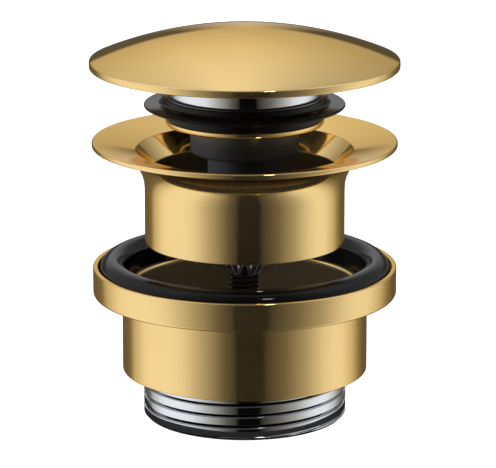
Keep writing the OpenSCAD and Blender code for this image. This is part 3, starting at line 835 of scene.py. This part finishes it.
def studio_world():
    """Soft panels left, right and behind, a dark gap at the camera, and plain white behind the object."""
    world = bpy.data.worlds.new("studio")
    bpy.context.scene.world = world
    world.use_nodes = True
    tree = world.node_tree
    tree.nodes.clear()
    direction = tree.nodes.new("ShaderNodeTexCoord")
    parts = tree.nodes.new("ShaderNodeSeparateXYZ")
    tree.links.new(direction.outputs["Generated"], parts.inputs["Vector"])
    turn = tree.nodes.new("ShaderNodeMath")
    turn.operation = "ARCTAN2"
    flip = tree.nodes.new("ShaderNodeMath")
    flip.operation = "MULTIPLY"
    flip.inputs[1].default_value = -1
    tree.links.new(parts.outputs["Y"], flip.inputs[0])
    tree.links.new(parts.outputs["X"], turn.inputs[0])
    tree.links.new(flip.outputs["Value"], turn.inputs[1])
    azimuth = span(tree, turn.outputs["Value"], (-math.pi, math.pi), (0, 1))
    rise = parts.outputs["Z"]
    low_panels = light_ramp(tree, LOW_LIGHT, azimuth, WARMTH)
    low = product(tree, low_panels, smooth(tree, rise, STEEP_LIMITS, STEEP_GAIN))
    middle = light_ramp(tree, MID_LIGHT, azimuth)
    high_panels = light_ramp(tree, HIGH_LIGHT, azimuth)
    high = product(tree, high_panels, smooth(tree, rise, HIGH_LIMITS, HIGH_GAIN))
    zenith = light_ramp(tree, [(-180, ZENITH_LIGHT), (180, ZENITH_LIGHT)], azimuth)
    light = low
    for upper, limits in ((middle, MID_FROM), (high, HIGH_FROM), (zenith, ZENITH_FROM)):
        mix = tree.nodes.new("ShaderNodeMix")
        mix.data_type = "RGBA"
        tree.links.new(smooth(tree, rise, limits, (0, 1)), mix.inputs["Factor"])
        tree.links.new(light, mix.inputs["A"])
        tree.links.new(upper, mix.inputs["B"])
        light = mix.outputs["Result"]
    studio = tree.nodes.new("ShaderNodeBackground")
    tree.links.new(light, studio.inputs["Color"])
    backdrop = tree.nodes.new("ShaderNodeBackground")
    backdrop.inputs["Color"].default_value = (1, 1, 1, 1)
    path = tree.nodes.new("ShaderNodeLightPath")
    pick = tree.nodes.new("ShaderNodeMixShader")
    tree.links.new(path.outputs["Is Camera Ray"], pick.inputs["Fac"])
    tree.links.new(studio.outputs["Background"], pick.inputs[1])
    tree.links.new(backdrop.outputs["Background"], pick.inputs[2])
    output = tree.nodes.new("ShaderNodeOutputWorld")
    tree.links.new(pick.outputs["Shader"], output.inputs["Surface"])


def studio_floor():
    """Pale floor that stays out of the reflections."""
    mesh = bmesh.new()
    bmesh.ops.create_grid(mesh, x_segments=1, y_segments=1, size=FLOOR_HALF * MM)
    data = bpy.data.meshes.new("floor")
    mesh.to_mesh(data)
    mesh.free()
    finish = Shader("pale_floor", PALE, roughness=MATT)
    finish.surface.inputs["Emission Color"].default_value = (1, 1, 1, 1)
    finish.surface.inputs["Emission Strength"].default_value = FLOOR_GLOW
    data.materials.append(finish.material)
    floor = bpy.data.objects.new("floor", data)
    floor.location.z = -FLOOR_DROP * MM
    floor.visible_glossy = False
    bpy.context.scene.collection.objects.link(floor)


def dark_card():
    """Black card under the outlet that only the reflections see: a painted dark reflection on the flanks of
    the thread, standing in for the shade under the part.
    """
    mesh = bmesh.new()
    bmesh.ops.create_circle(mesh, cap_ends=True, segments=96, radius=CARD_R * MM)
    data = bpy.data.meshes.new("dark_card")
    mesh.to_mesh(data)
    mesh.free()
    data.materials.append(Shader("black_card", BLACK, roughness=MATT).material)
    card = bpy.data.objects.new("dark_card", data)
    card.location.z = -CARD_DROP * MM
    card.visible_camera = False
    card.visible_diffuse = False
    card.visible_shadow = False
    bpy.context.scene.collection.objects.link(card)


def lamp(name, azimuth, elevation, width, watts):
    """Square light aimed at the object; azimuth is in degrees from the camera to the right."""
    a = math.radians(azimuth)
    e = math.radians(elevation)
    away = Vector((math.sin(a) * math.cos(e), -math.cos(a) * math.cos(e), math.sin(e)))
    data = bpy.data.lights.new(name, "AREA")
    data.size = width * MM
    data.energy = watts
    made = bpy.data.objects.new(name, data)
    made.location = (AIM + away * LAMP_REACH) * MM
    made.rotation_euler = (-away).to_track_quat("-Z", "Y").to_euler()
    bpy.context.scene.collection.objects.link(made)
    return made


def photo_camera():
    """Camera at the photo's angle, distance and framing."""
    data = bpy.data.cameras.new("photo_camera")
    data.sensor_width = SENSOR_W
    data.lens = FOCAL_PX / IMAGE_W * SENSOR_W
    data.clip_start = 0.05
    data.clip_end = 20
    camera = bpy.data.objects.new("photo_camera", data)
    back = Vector((0, -math.cos(CAMERA_ELEVATION), math.sin(CAMERA_ELEVATION)))
    camera.location = (AIM + back * CAMERA_DISTANCE) * MM
    camera.rotation_euler = (math.pi / 2 - CAMERA_ELEVATION, 0, 0)
    bpy.context.scene.collection.objects.link(camera)
    bpy.context.scene.camera = camera


studio_world()
studio_floor()
dark_card()
lamp("highlight", azimuth=21, elevation=44, width=100, watts=0.7)
fill = lamp("left_fill", azimuth=-98, elevation=22, width=400, watts=8)
fill.visible_glossy = False
fill.data.use_shadow = False
photo_camera()
bpy.context.scene.view_settings.view_transform = "Standard"
